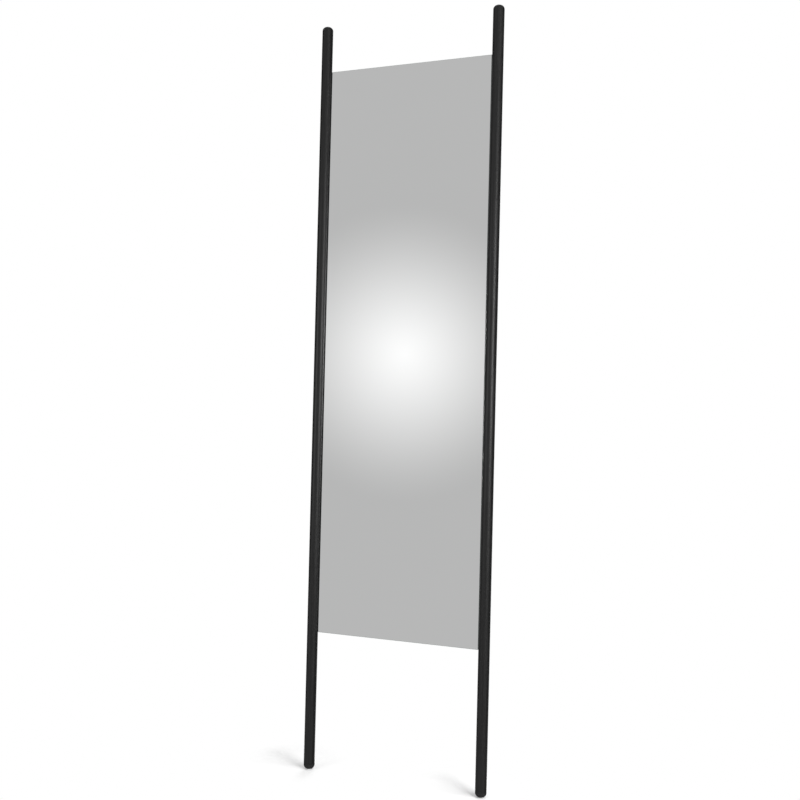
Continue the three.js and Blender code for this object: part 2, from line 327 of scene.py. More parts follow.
class ShaderTree:
    """The nodes of one material or world."""

    def __init__(self, owner: bpy.types.Material | bpy.types.World) -> None:
        """Empties the owner's tree, so that it can be built afresh."""
        owner.use_nodes = True
        self.tree = owner.node_tree
        self.tree.nodes.clear()

    def add(
        self, kind: str, settings: Mapping[str, Any] | None = None, sockets: Mapping[str, Any] | None = None
    ) -> bpy.types.Node:
        """Adds a node of any type.

        Args:
            kind: the node's type.
            settings: the node's properties by name, or "stops" for a colour ramp's (position, colour) pairs.
            sockets: a constant, a Value or an output socket for each input, by the input's identifier.

        Returns:
            The new node.
        """
        node = self.tree.nodes.new(kind)
        for name, value in (settings or {}).items():
            if name == "stops":
                self._set_stops(node.color_ramp, value)
            else:
                setattr(node, name, value)
        for identifier, value in (sockets or {}).items():
            socket = next(s for s in node.inputs if s.identifier == identifier)
            source = value.socket if isinstance(value, Value) else value
            if isinstance(source, bpy.types.NodeSocket):
                self.tree.links.new(source, socket)
            else:
                socket.default_value = (*source, 1.0) if socket.type == "RGBA" else source
        return node

    @staticmethod
    def _set_stops(ramp: bpy.types.ColorRamp, stops: Sequence[tuple[float, Colour]]) -> None:
        """Gives a colour ramp its stops, in order."""
        while len(ramp.elements) < len(stops):
            ramp.elements.new(1.0)
        for element, (position, colour) in zip(ramp.elements, stops):
            element.position = position
            element.color = (*colour, 1.0)

    def value(
        self, kind: str, settings: Mapping[str, Any] | None = None, sockets: Mapping[str, Any] | None = None,
        output: str | None = None,
    ) -> Value:
        """Adds a node and wraps one of its outputs, the first unless another is named."""
        outputs = self.add(kind, settings, sockets).outputs
        return Value(self, outputs[output] if output else outputs[0])

    def maths(self, operation: Maths, *operands: Value | float) -> Value:
        """Adds a Math node on one or two operands."""
        identifiers = ("Value", "Value_001")
        sockets = dict(zip(identifiers, operands))
        return self.value("ShaderNodeMath", {"operation": operation.value}, sockets)

    def vector(
        self, operation: Vectors, first: Any, second: Sequence[float] = (0.0, 0.0, 0.0)
    ) -> bpy.types.Node:
        """Adds a Vector Math node. Its result is its first output, or "Value" where that is a number."""
        sockets = {"Vector": first, "Vector_001": tuple(second)}
        return self.add("ShaderNodeVectorMath", {"operation": operation.value}, sockets)

    def measured(self, operation: Vectors, first: Any, second: Sequence[float]) -> Value:
        """A number from two vectors, such as the distance between them."""
        return Value(self, self.vector(operation, first, second).outputs["Value"])

    def eased(self, value: Value, low: float, high: float) -> Value:
        """Rises smoothly from 0 where the value is low to 1 where it is high."""
        sockets = {"Value": value, "From Min": low, "From Max": high}
        return self.value("ShaderNodeMapRange", {"interpolation_type": "SMOOTHSTEP"}, sockets)

    def blend(self, share: Value, first: Any, second: Any) -> bpy.types.NodeSocket:
        """Mixes two colours, the second one by the given share."""
        settings = {"data_type": "RGBA", "clamp_factor": True}
        sockets = {"Factor_Float": share, "A_Color": first, "B_Color": second}
        node = self.add("ShaderNodeMix", settings, sockets)
        return next(s for s in node.outputs if s.identifier == "Result_Color")

    def along_poles(self, scale: tuple[float, float, float]) -> bpy.types.NodeSocket:
        """Object coordinates, turned upright with the poles and scaled: across, to the wall, along."""
        place = self.add("ShaderNodeTexCoord").outputs["Object"]
        sockets = {"Vector": place, "Rotation": (LEAN, 0.0, 0.0)}
        upright = self.add("ShaderNodeMapping", {"vector_type": "POINT"}, sockets).outputs[0]
        return self.vector(Vectors.MULTIPLY, upright, scale).outputs[0]

    def noise(self, scale: tuple[float, float, float], detail: float, roughness: float = 0.5) -> Value:
        """Soft noise from 0 to 1 with the given number of features in each metre along each axis."""
        sockets = {"Vector": self.along_poles(scale), "Scale": 1.0, "Detail": detail, "Roughness": roughness}
        return self.value("ShaderNodeTexNoise", {}, sockets, "Fac")

    def bump(self, height: Value, depth: float, strength: float) -> bpy.types.NodeSocket:
        """A surface that rises and falls by the height times the depth."""
        sockets = {"Height": height, "Distance": depth, "Strength": strength}
        return self.add("ShaderNodeBump", {}, sockets).outputs["Normal"]

    def background_rays(self) -> Value:
        """1 for what shows the background, which is the camera, gloss and glass, and 0 for what it lights."""
        rays = self.add("ShaderNodeLightPath").outputs
        camera, glossy, through = (
            Value(self, rays[name]) for name in ("Is Camera Ray", "Is Glossy Ray", "Is Transmission Ray")
        )
        return self.maths(Maths.MINIMUM, camera + glossy + through, 1.0)

    def white_light(self, kind: str, strength: Value | float) -> bpy.types.NodeSocket:
        """White light, from a Background node in a world or an Emission node in a material."""
        return self.add(kind, {}, {"Color": WHITE, "Strength": strength}).outputs[0]

    def mix_shaders(self, share: Value, first: Any, second: Any) -> bpy.types.NodeSocket:
        """Mixes two shaders, the second one by the given share."""
        sockets = {"Fac": share, "Shader": first, "Shader_001": second}
        return self.add("ShaderNodeMixShader", {}, sockets).outputs[0]

    def end(self, shader: bpy.types.NodeSocket, kind: str = "ShaderNodeOutputMaterial") -> None:
        """Ends the tree in its output."""
        self.add(kind, {}, {"Surface": shader})

    def surface(self, sockets: Mapping[str, Any]) -> None:
        """Ends a material in a Principled shader with the given sockets."""
        self.end(self.add("ShaderNodeBsdfPrincipled", {}, sockets).outputs[0])


# ---- Finishes ----


class Finish:
    """A material, made once and shared by the pieces that have it."""

    title: str

    def dress(self, tree: ShaderTree) -> None:
        """Builds the material's nodes."""
        raise NotImplementedError

    def material(self) -> bpy.types.Material:
        """The finish's material, made the first time that it is asked for."""
        known = bpy.data.materials.get(self.title)
        if known is not None:
            return known
        made = bpy.data.materials.new(self.title)
        self.dress(ShaderTree(made))
        return made


@dataclass(frozen=True)
class StainedWood(Finish):
    """Black stain under a satin lacquer, with a fine grain that runs along the pole."""

    title: str = "stained_wood"
    dark: Colour = (0.0030, 0.0030, 0.0031)
    light: Colour = (0.0100, 0.0099, 0.0099)
    gloss_level: float = 0.34
    roughness: float = 0.42

    def dress(self, tree: ShaderTree) -> None:
        """Long streaks colour the wood, and short pores make it rougher and a little lower."""
        streaks = tree.eased(tree.noise((620, 620, 9), 5, 0.6), 0.32, 0.68)
        pores = tree.eased(tree.noise((1500, 1500, 55), 3), 0.60, 0.72)
        handling = tree.noise((14, 14, 5), 2)
        colour = tree.blend(streaks * (1 - 0.6 * pores), self.dark, self.light)
        relief = 0.45 * streaks - 0.55 * pores
        tree.surface({
            "Base Color": colour,
            "Roughness": self.roughness - 0.05 + 0.08 * handling + 0.12 * pores,
            "Specular IOR Level": self.gloss_level,
            "Normal": tree.bump(relief, 0.00012, 0.45),
        })


@dataclass(frozen=True)
class MouldedRubber(Finish):
    """Matte black moulded rubber with a spark-eroded texture."""

    title: str = "moulded_rubber"
    dark: Colour = (0.0085, 0.0085, 0.0087)
    light: Colour = (0.0150, 0.0150, 0.0153)

    def dress(self, tree: ShaderTree) -> None:
        """Fine even speckle lifts the surface, and slow patches change its bloom."""
        speckle = tree.noise((2600, 2600, 2600), 2)
        bloom = tree.noise((45, 45, 45), 3)
        tree.surface({
            "Base Color": tree.blend(0.35 * speckle + 0.65 * bloom, self.dark, self.light),
            "Roughness": 0.66 + 0.14 * bloom,
            "Specular IOR Level": 0.35,
            "Normal": tree.bump(speckle, 0.00008, 0.5),
        })


@dataclass(frozen=True)
class FacedBoard(Finish):
    """Fibreboard with a matte black paper face."""

    title: str = "faced_board"
    dark: Colour = (0.0220, 0.0220, 0.0224)
    light: Colour = (0.0380, 0.0376, 0.0370)

    def dress(self, tree: ShaderTree) -> None:
        """Fibres show as a fine fleck, and the face has slow changes of gloss from pressing."""
        fleck = tree.noise((900, 900, 900), 4, 0.65)
        pressed = tree.noise((7, 7, 4), 3)
        tree.surface({
            "Base Color": tree.blend(0.6 * fleck + 0.4 * pressed, self.dark, self.light),
            "Roughness": 0.56 + 0.12 * pressed + 0.06 * fleck,
            "Specular IOR Level": 0.4,
            "Normal": tree.bump(fleck, 0.00006, 0.4),
        })


@dataclass(frozen=True)
class SilveredFace(Finish):
    """The face of the mirror: clear glass over silver, wiped clean."""

    title: str = "silvered_face"
    silver: Colour = (0.866, 0.869, 0.868)
    cloudy: Colour = (0.858, 0.862, 0.860)

    def dress(self, tree: ShaderTree) -> None:
        """A near-perfect mirror, with wiping marks too faint to show except at a glancing angle."""
        wiping = tree.noise((5, 5, 16), 4, 0.6)
        dust = tree.eased(tree.noise((1400, 1400, 1400), 1), 0.76, 0.82)
        tree.surface({
            "Base Color": tree.blend(wiping, self.silver, self.cloudy),
            "Metallic": 1.0,
            "Roughness": 0.006 + 0.010 * wiping + 0.05 * dust,
        })


@dataclass(frozen=True)
class GroundEdge(Finish):
    """The polished edge of the glass, where its thickness shows green."""

    title: str = "ground_glass_edge"
    deep: Colour = (0.085, 0.125, 0.112)
    pale: Colour = (0.200, 0.250, 0.232)

    def dress(self, tree: ShaderTree) -> None:
        """Faint grinding lines run along the edge."""
        lines = tree.noise((60, 3000, 60), 3)
        tree.surface({
            "Base Color": tree.blend(lines, self.deep, self.pale),
            "Roughness": 0.10 + 0.16 * lines,
            "Specular IOR Level": 0.5,
            "Normal": tree.bump(lines, 0.00004, 0.3),
        })


@dataclass(frozen=True)
class BackingPaint(Finish):
    """The grey paint that protects the silver."""

    title: str = "backing_paint"
    dark: Colour = (0.115, 0.120, 0.122)
    light: Colour = (0.165, 0.171, 0.172)

    def dress(self, tree: ShaderTree) -> None:
        """Curtain-coated paint has long soft waves across the sheet and a fine orange peel."""
        waves = tree.noise((3, 3, 40), 2)
        peel = tree.noise((700, 700, 700), 2)
        tree.surface({
            "Base Color": tree.blend(0.7 * waves + 0.3 * peel, self.dark, self.light),
            "Roughness": 0.42 + 0.12 * peel,
            "Normal": tree.bump(peel, 0.00008, 0.3),
        })


@dataclass(frozen=True)
class FoamTape(Finish):
    """White closed-cell foam, cut to a strip."""

    title: str = "foam_tape"
    # the colour of each cell's middle: painted shade in its hollow
    shade: Colour = (0.56, 0.56, 0.53)
    white: Colour = (0.76, 0.76, 0.73)

    def dress(self, tree: ShaderTree) -> None:
        """Cells show as small round hollows, from a bump and from painted shade that darkens the middle of
        each cell.
        """
        sockets = {"Vector": tree.along_poles((2200, 2200, 2200)), "Scale": 1.0}
        cells = tree.value("ShaderNodeTexVoronoi", {"feature": "F1"}, sockets, "Distance")
        tree.surface({
            # the middle of each cell takes the darker colour, which is painted shade in the hollow
            "Base Color": tree.blend(tree.eased(cells, 0.1, 0.6), self.shade, self.white),
            "Roughness": 0.82 + 0.12 * cells,
            "Normal": tree.bump(cells, 0.00015, 0.6),
        })


@dataclass(frozen=True)
class ZincPlate(Finish):
    """Bright zinc plating on steel, with rolling lines and a patchy passivation."""

    title: str = "zinc_plate"
    dull: Colour = (0.43, 0.44, 0.45)
    bright: Colour = (0.66, 0.67, 0.68)

    def dress(self, tree: ShaderTree) -> None:
        """Spangle patches change the colour and the gloss, and fine lines run across."""
        spangle = tree.noise((260, 260, 260), 3, 0.6)
        lines = tree.noise((90, 90, 5200), 2)
        tree.surface({
            "Base Color": tree.blend(0.7 * spangle + 0.3 * lines, self.dull, self.bright),
            "Metallic": 1.0,
            "Roughness": 0.24 + 0.16 * spangle + 0.08 * lines,
            "Normal": tree.bump(lines, 0.00002, 0.3),
        })


# ---- Making pieces ----


@dataclass
class Workshop:
    """Turns skins into finished pieces that ride on the frame and stand for their nodes."""

    axes: LeaningAxes
    box: np.ndarray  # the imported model's lowest and highest corners
    made: list[str] = field(default_factory=list)

    def mesh_object(self, name: str, skin: Skin) -> bpy.types.Object:
        """Puts a skin into the room as an object with its place in its mesh."""
        room = skin.moved(self.axes.to_room)
        mesh = bpy.data.meshes.new(name)
        mesh.from_pydata(room.points.tolist(), [], room.faces)
        mesh.polygons.foreach_set("material_index", room.finishes.astype(np.int32))
        mesh.shade_smooth()
        mesh.set_sharp_from_angle(angle=SMOOTH_ANGLE)
        mesh.update()
        piece = bpy.data.objects.new(name, mesh)
        bpy.context.scene.collection.objects.link(piece)
        return piece

    def carve(self, piece: bpy.types.Object, holes: Sequence[Skin]) -> None:
        """Cuts holes out of a piece and keeps the result as its mesh.

        Args:
            piece: the piece to cut.
            holes: the shapes to take away, in the mirror's own axes.
        """
        cutters = [self.mesh_object(f"{piece.name}_hole_{i}", hole) for i, hole in enumerate(holes)]
        for cutter in cutters:
            cut = piece.modifiers.new(cutter.name, "BOOLEAN")
            cut.operation, cut.solver, cut.object = "DIFFERENCE", "EXACT", cutter
        bpy.context.view_layer.update()
        evaluated = piece.evaluated_get(bpy.context.evaluated_depsgraph_get())
        carved = bpy.data.meshes.new_from_object(evaluated)
        piece.modifiers.clear()
        piece.data = carved
        carved.shade_smooth()
        carved.set_sharp_from_angle(angle=SMOOTH_ANGLE)
        for cutter in cutters:
            bpy.data.objects.remove(cutter)

    def keep_inside(self, piece: bpy.types.Object) -> None:
        """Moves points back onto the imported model's box, which finer curves pass by less than 0.1 mm."""
        vertices = piece.data.vertices
        points = np.empty(3 * len(vertices))
        vertices.foreach_get("co", points)
        inside = np.clip(points.reshape(-1, 3), *self.box)
        vertices.foreach_set("co", inside.ravel())
        piece.data.update()

    def finish(
        self, name: str, node: str, slot: str, skin: Skin, finishes: Sequence[Finish],
        holes: Sequence[Skin] = (),
    ) -> bpy.types.Object:
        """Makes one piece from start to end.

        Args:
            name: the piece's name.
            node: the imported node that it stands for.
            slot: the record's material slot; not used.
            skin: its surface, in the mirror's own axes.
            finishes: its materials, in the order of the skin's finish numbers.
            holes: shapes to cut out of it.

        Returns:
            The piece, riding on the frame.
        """
        piece = self.mesh_object(name, skin)
        for finish in finishes:
            piece.data.materials.append(finish.material())
        if holes:
            self.carve(piece, holes)
        self.keep_inside(piece)
        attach(piece, "root")
        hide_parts(node)
        self.made.append(name)
        log.info("%s stands for %s: %d faces", name, node, len(piece.data.polygons))
        return piece


def turned_skin(profile: Sequence[tuple[float, float]], place: Sequence[float], count: int) -> Skin:
    """A turned shape whose axis faces the wall: the profile's height is measured from the given place."""
    return ring_skin(facing_wall(lathe(profile, circle(count)))).shifted(place)


@dataclass(frozen=True)
class CountersunkScrew:
    """A countersunk screw with a square socket, driven from behind until its head is flush."""

    length: float
    head_height: float
    radius: float = 0.0015
    head_radius: float = 0.0030
    rim: float = 0.00015  # the flat land round the head's edge
    point_height: float = 0.0025
    point_radius: float = 0.0002
    socket_half: float = 0.0009
    socket_depth: float = 0.0009
    socket_mouth: float = 1.25  # the socket's mouth over its width further in
    socket_bevel: float = 0.2  # the depth of the mouth over the socket's half width
    past_face: float = 0.004  # how far the hole runs on past the face

    def hole(self, place: Sequence[float]) -> Skin:
        """The hole that the screw sits in: its own shape and the clearance, run on past the face."""
        shank, head = self.radius + FIT, self.head_radius + FIT
        profile = [
            (shank, -self.length - FIT),
            (shank, -self.head_height),
            (head, 0.0),
            (head, self.past_face),
        ]
        return turned_skin(profile, place, SCREW_POINTS)

    def skin(self, place: Sequence[float]) -> Skin:
        """The screw: round rings up to the head's rim, then square rings in and down the socket."""
        profile = [
            (self.point_radius, -self.length),
            (self.radius, self.point_height - self.length),
            (self.radius, -self.head_height),
            (self.head_radius, -self.rim),
            (self.head_radius, 0.0),
        ]
        head = lathe(profile, circle(SCREW_POINTS))
        steps = [
            (self.socket_half * self.socket_mouth, 0.0),
            (self.socket_half, -self.socket_half * self.socket_bevel),
            (self.socket_half, -self.socket_depth),
        ]
        socket = lathe(steps, square(SCREW_POINTS))
        return ring_skin(facing_wall(np.concatenate([head, socket]))).shifted(place)


# ---- Sub-assemblies ----


@dataclass(frozen=True)
class GlassPanel:
    """The mirror glass, the board that it is taped to, and what holds and hangs on the board."""

    glass_width: float = 0.420
    glass_height: float = 1.400
    glass_front: float = 0.0005
    glass_back: float = 0.0045
    arris: float = 0.0008
    corner: float = 0.0012

    tape_width: float = 0.020
    tape_side_margin: float = 0.050
    tape_end_margin: float = 0.054
    tape_front: float = 0.0048
    tape_back: float = 0.0058
    tape_corner: float = 0.001
    tape_bulge: float = 0.0003  # how far the middle of the tape's edge stands out past its faces
    tape_bulge_rest: float = 0.00008  # how much of that is left half way to each face

    board_half_width: float = 0.2229
    board_front: float = 0.0061
    board_back: float = 0.0121
    board_inset: float = 0.004
    board_corner: float = 0.0015
    board_ease: float = 0.0005
    board_flat: float = 0.004  # from the eased edge in to where the face's shading is quite flat

    screws_per_side: int = 5
    screw_edge_distance: float = 0.0055
    screw_end_distance: float = 0.060

    plate_drop: float = 0.040
    plate_half: float = 0.025
    plate_height: float = 0.014
    plate_thickness: float = 0.0012
    plate_corner: float = 0.0025
    plate_corner_start: float = 0.12  # the first turn of each end's corner, in radians
    plate_edge: float = 0.0003  # the small radius along the plate's edges
    plate_edge_points: int = 4
    plate_steps: int = 9  # in each ramp and each end
    bridge_half: float = 0.011
    bridge_ramp: float = 0.0026  # the length of the step up to the bridge
    bridge_rise: float = 0.0018
    plate_screw_x: float = 0.019

    board_screw: CountersunkScrew = CountersunkScrew(0.016, 0.0018)
    plate_screw: CountersunkScrew = CountersunkScrew(0.006, 0.0010)

    @property
    def glass_middle(self) -> float:
        """How far behind the poles' axes the middle of the glass is."""
        return (self.glass_front + self.glass_back) / 2

    @property
    def screw_top(self) -> float:
        """Where the board screws' heads end, just under the board's face."""
        return self.board_back - FIT

    @property
    def plate_front(self) -> float:
        """The strap plate's seat on the board."""
        return self.board_back + FIT

    @property
    def board_height(self) -> float:
        """The board's height, a little less than the glass's."""
        return self.glass_height - 2 * self.board_inset

    @property
    def plate_z(self) -> float:
        """How high the strap plate is."""
        return GLASS_MIDDLE + self.board_height / 2 - self.plate_drop

    def screw_places(self, side: Side) -> list[tuple[float, float, float]]:
        """Where the board's screws are on one side, from the bottom up."""
        x = side.value * (self.board_half_width - self.screw_edge_distance)
        reach = self.board_height / 2 - self.screw_end_distance
        heights = GLASS_MIDDLE + np.linspace(-reach, reach, self.screws_per_side)
        return [(x, self.screw_top, float(z)) for z in heights]

    def plate_screw_place(self, side: Side) -> tuple[float, float, float]:
        """Where the strap plate's screw is on one side."""
        return (side.value * self.plate_screw_x, self.plate_front + self.plate_thickness, self.plate_z)

    def sheet(self, width: float, height: float, corner: float, steps: Sequence[tuple[float, float]],
              finishes: Sequence[int] | None = None, x: float = 0.0) -> Skin:
        """A sheet that faces the wall, with its middle level with the glass's."""
        rings = facing_wall(slab(width, height, corner, steps))
        return ring_skin(rings, finishes).shifted((x, 0.0, GLASS_MIDDLE))

    def make_glass(self, shop: Workshop) -> None:
        """The sheet of glass: silvered face, ground arrises and edge, painted back."""
        front, back, arris = self.glass_front, self.glass_back, self.arris
        steps = [(arris, front), (0.0, front + arris), (0.0, back - arris), (arris, back)]
        skin = self.sheet(self.glass_width, self.glass_height, self.corner, steps, [0, 1, 1, 1, 2])
        finishes = [SilveredFace(), GroundEdge(), BackingPaint()]
        shop.finish("mirror_sheet", "mirror_glass", "mirror_glass", skin, finishes)

    def make_board(self, shop: Workshop) -> None:
        """The board, with eased edges and a countersunk hole for each screw."""
        ease = self.board_ease
        soft = ease * (1 - math.sqrt(0.5))
        steps = [
            (ease + self.board_flat, self.board_front),
            (ease, self.board_front),
            (soft, self.board_front + soft),
            (0.0, self.board_front + ease),
            (0.0, self.board_back - ease),
            (soft, self.board_back - soft),
            (ease, self.board_back),
            (ease + self.board_flat, self.board_back),
        ]
        skin = self.sheet(2 * self.board_half_width, self.board_height, self.board_corner, steps)
        holes = [self.board_screw.hole(place) for side in Side for place in self.screw_places(side)]
        holes += [self.plate_screw.hole(self.plate_screw_place(side)) for side in Side]
        shop.finish("backing_board", "back_board", "black_board", skin, [FacedBoard()], holes)

    def make_tapes(self, shop: Workshop) -> None:
        """Three strips of foam tape, whose edges bulge a little where the glass squeezes them."""
        front, back = self.tape_front, self.tape_back
        middle = (front + back) / 2
        steps = [
            (self.tape_bulge, front),
            (self.tape_bulge_rest, (front + middle) / 2),
            (0.0, middle),
            (self.tape_bulge_rest, (middle + back) / 2),
            (self.tape_bulge, back),
        ]
        reach = self.glass_width / 2 - self.tape_side_margin - self.tape_width / 2
        height = self.glass_height - 2 * self.tape_end_margin
        for place, x in (("left", -reach), ("centre", 0.0), ("right", reach)):
            skin = self.sheet(self.tape_width, height, self.tape_corner, steps, x=x)
            shop.finish(f"{place}_foam_strip", f"{place}_tape", "foam_tape", skin, [FoamTape()])

    def make_board_screws(self, shop: Workshop) -> None:
        """The screws that hold the board in the poles' rebates."""
        for side in Side:
            for number, place in enumerate(self.screw_places(side), start=1):
                name = f"{side.word}_screw_{number}"
                node = f"{side.word}_board_screw_{number}"
                shop.finish(name, node, "plated_steel", self.board_screw.skin(place), [ZincPlate()])

    def plate_path(self) -> np.ndarray:
        """The strap plate's middle line, as (x, y, half height) rows from left to right.

        Each foot is straight and its end is a quarter circle in plan. The bridge rises between them on an
        eased step, which is 3t^2 - 2t^3 of the way up its ramp.
        """
        ramp = np.linspace(0, 1, self.plate_steps)
        rise = self.bridge_rise * ramp**2 * (3 - 2 * ramp)
        climb = np.stack([self.bridge_half - self.bridge_ramp * ramp, rise], axis=1)
        turn = np.linspace(self.plate_corner_start, np.pi / 2, self.plate_steps)
        corner = self.plate_corner
        end_x = self.plate_half - corner * (1 - np.cos(turn))
        end_half = self.plate_height / 2 - corner * (1 - np.sin(turn))
        end = np.stack([end_x, np.zeros_like(end_x), end_half], axis=1)
        full = np.full((len(climb), 1), self.plate_height / 2)
        right = np.concatenate([end, np.concatenate([climb, full], axis=1)])
        left = right[::-1] * np.array([-1, 1, 1])
        return np.concatenate([left[::-1], right[::-1]])

    def make_strap_plate(self, shop: Workshop) -> None:
        """The bridged plate that an anti-tip strap goes under, and its two screws."""
        path = self.plate_path()
        section = rounded_rectangle(self.plate_thickness / 2, 1.0, self.plate_edge, self.plate_edge_points)
        along = np.gradient(path[:, :2], axis=0)
        along /= np.linalg.norm(along, axis=1, keepdims=True)
        normal = np.stack([-along[:, 1], along[:, 0]], axis=1)
        rings = np.zeros((len(path), len(section), 3))
        rings[:, :, :2] = path[:, None, :2] + normal[:, None, :] * section[None, :, :1]
        rings[:, :, 1] += self.plate_front + self.plate_thickness / 2
        rings[:, :, 2] = self.plate_z + path[:, 2:] * section[None, :, 1]
        holes = [self.plate_screw.hole(self.plate_screw_place(side)) for side in Side]
        slot, zinc = "plated_steel", [ZincPlate()]
        shop.finish("anti_tip_bridge", "strap_plate", slot, ring_skin(rings), zinc, holes)
        for side in Side:
            skin = self.plate_screw.skin(self.plate_screw_place(side))
            shop.finish(f"{side.word}_bridge_screw", f"{side.word}_plate_screw", slot, skin, zinc)

    def build(self, shop: Workshop) -> None:
        """Makes every piece of the panel."""
        self.make_glass(shop)
        self.make_tapes(shop)
        self.make_board(shop)
        self.make_board_screws(shop)
        self.make_strap_plate(shop)


@dataclass(frozen=True)
class PoleAssembly:
    """One pole with its rubber foot, its wall bumper and the strip between it and the glass."""

    side: Side
    panel: GlassPanel
    around: int = 96
    notch_points: int = 12  # of those around, where the board is let in

    tip: float = 1.855
    tip_height: float = 0.011
    tip_power: float = 2.2
    tip_steps: int = 22
    ease: float = 0.0004  # the small chamfer on each cut edge

    shoulder: float = 0.0058  # from the pole's axis back to the board's seat
    foot_height: float = 0.014
    spigot_radius: float = 0.004
    spigot_length: float = 0.018

    bumper_radius: float = 0.006
    bumper_z: float = 1.815
    bumper_seat: float = 0.0115
    bumper_reach: float = 0.003  # from the back of the pole to the disc's face, before it is pressed
    bumper_soft: float = 0.0006  # the radius of the disc's rim
    rim_points: int = 6
    bumper_points: int = 64
    stem_radius: float = 0.0025
    stem_length: float = 0.007

    strip_thickness: float = 0.0008
    strip_round: float = 0.00025
    strip_round_points: int = 5
    strip_end: float = 0.0002  # how far from its ends the strip is drawn in
    strip_end_share: float = 0.94  # and how much of its section is left there

    @property
    def axis_x(self) -> float:
        """Where the pole's axis is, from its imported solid."""
        low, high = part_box(f"{self.side.word}_pole")
        return (low.x + high.x) / 2

    @property
    def radius(self) -> float:
        """The pole's radius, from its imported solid."""
        low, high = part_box(f"{self.side.word}_pole")
        return (high.x - low.x) / 2

    def sections(self) -> tuple[np.ndarray, np.ndarray]:
        """The pole's round section, and its section where the board is let in.

        Both have the same number of points. The second keeps the circle except for the back inner quarter,
        which two straight legs replace: one from the circle straight in to the shoulder's corner, and one
        from there out along the shoulder to the circle again.

        Returns:
            The two outlines, anticlockwise, about the pole's axis.
        """
        radius, shoulder = self.radius, self.shoulder
        wall = abs(self.axis_x) - self.panel.board_half_width - FIT
        back = np.pi / 2 + np.arcsin(wall / radius)
        inner = np.pi - np.arcsin(shoulder / radius)
        gap = self.ease / radius
        plain = np.linspace(inner + gap, back - gap + 2 * np.pi, self.around - self.notch_points)
        notch = np.linspace(back, inner, self.notch_points + 2)[1:-1]
        turns = np.concatenate([plain, notch])
        round_section = radius * np.stack([np.cos(turns), np.sin(turns)], axis=1)
        top = np.array([-wall, radius * np.sin(back) - self.ease])
        corner = np.array([-wall, shoulder])
        foot = np.array([radius * np.cos(inner) + self.ease, shoulder])
        share = np.linspace(0, 1, self.notch_points // 2)[:, None]
        legs = np.concatenate([top + (corner - top) * share, corner + (foot - corner) * share])
        let_in = np.concatenate([round_section[: len(plain)], legs])
        if self.side is Side.RIGHT:
            return round_section, let_in
        flip = np.array([-1.0, 1.0])
        return round_section[::-1] * flip, let_in[::-1] * flip

    def tip_profile(self) -> np.ndarray:
        """(radius, depth) rows of the rounded tip, from its crown out."""
        return tip_curve(self.radius, self.tip_height, self.tip_power, self.tip_steps)

    def pole_skin(self) -> Skin:
        """The pole: the foot's hole, the round shaft, the rebate between two flat ends, and the domed tip."""
        round_section, let_in = self.sections()
        whole = round_section / self.radius
        bottom = self.foot_height + FIT
        hole = self.spigot_radius + FIT
        reach = self.panel.board_height / 2 + FIT
        rebate = (GLASS_MIDDLE - reach, GLASS_MIDDLE + reach)
        low = [
            (hole, self.foot_height + self.spigot_length + 2 * FIT),
            (hole, bottom),
            (self.radius - self.ease, bottom),
            (self.radius, bottom + self.ease),
            (self.radius, rebate[0]),
        ]
        high = [(self.radius, rebate[1])]
        high += [(float(radius), self.tip - float(depth)) for radius, depth in self.tip_profile()[::-1]]
        rings = np.concatenate([
            lathe(low, whole),
            stack([let_in, let_in], rebate),
            lathe(high, whole),
        ])
        return ring_skin(rings).shifted((self.axis_x, 0.0, 0.0))

    def bumper_hole(self) -> Skin:
        """The stepped hole in the back of the pole, for the bumper's stem and disc."""
        profile = [
            (self.stem_radius + FIT, self.bumper_seat - self.stem_length - FIT),
            (self.stem_radius + FIT, self.bumper_seat),
            (self.bumper_radius + FIT, self.bumper_seat),
            (self.bumper_radius + FIT, self.radius + self.bumper_reach),
        ]
        return turned_skin(profile, (self.axis_x, 0.0, self.bumper_z), self.bumper_points)

    def make_pole(self, shop: Workshop) -> None:
        """The wooden pole."""
        word = self.side.word
        skin, holes = self.pole_skin(), [self.bumper_hole()]
        shop.finish(f"{word}_turned_pole", f"{word}_pole", "pole_wood", skin, [StainedWood()], holes)

    def make_foot(self, shop: Workshop) -> None:
        """The rubber foot: a domed plug on a spigot, pressed flat where it meets the floor."""
        top = self.foot_height
        crown = [(float(radius), float(depth)) for radius, depth in self.tip_profile()]
        shoulder = [
            (self.radius, top - self.ease),
            (self.radius - self.ease, top),
            (self.spigot_radius, top),
            (self.spigot_radius, top + self.spigot_length),
        ]
        skin = ring_skin(lathe(crown + shoulder, circle(self.around))).shifted((self.axis_x, 0.0, 0.0))
        flat = skin.moved(self.above_floor(shop.axes))
        word = self.side.word
        shop.finish(f"{word}_rubber_foot", f"{word}_foot_pad", "black_rubber", flat, [MouldedRubber()])

    def above_floor(self, axes: LeaningAxes) -> Callable[[np.ndarray], np.ndarray]:
        """A change that slides points which are under the floor up along the pole until they are on it."""
        floor = float(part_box(f"{self.side.word}_foot_pad")[0].z)

        def lift(points: np.ndarray) -> np.ndarray:
            """Raises each low point by its depth under the floor, over the cosine of the lean."""
            short = np.maximum(floor - axes.to_room(points)[:, 2], 0) / math.cos(axes.lean)
            return points + short[:, None] * np.array([0.0, 0.0, 1.0])

        return lift

    def make_bumper(self, shop: Workshop) -> None:
        """The rubber bumper: a stem and a disc with a soft rim, pressed flat against the wall."""
        wall = float(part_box(f"{self.side.word}_wall_bumper")[1].y)
        seat = self.bumper_seat + FIT
        face = self.radius + self.bumper_reach
        soft = self.bumper_soft
        turn = np.linspace(0, np.pi / 2, self.rim_points)
        rim = [
            (self.bumper_radius - soft * (1 - math.cos(t)), face - soft * (1 - math.sin(t))) for t in turn
        ]
        profile = [
            (self.stem_radius, self.bumper_seat - self.stem_length),
            (self.stem_radius, seat),
            (self.bumper_radius, seat),
            *rim,
        ]
        skin = turned_skin(profile, (self.axis_x, 0.0, self.bumper_z), self.bumper_points)

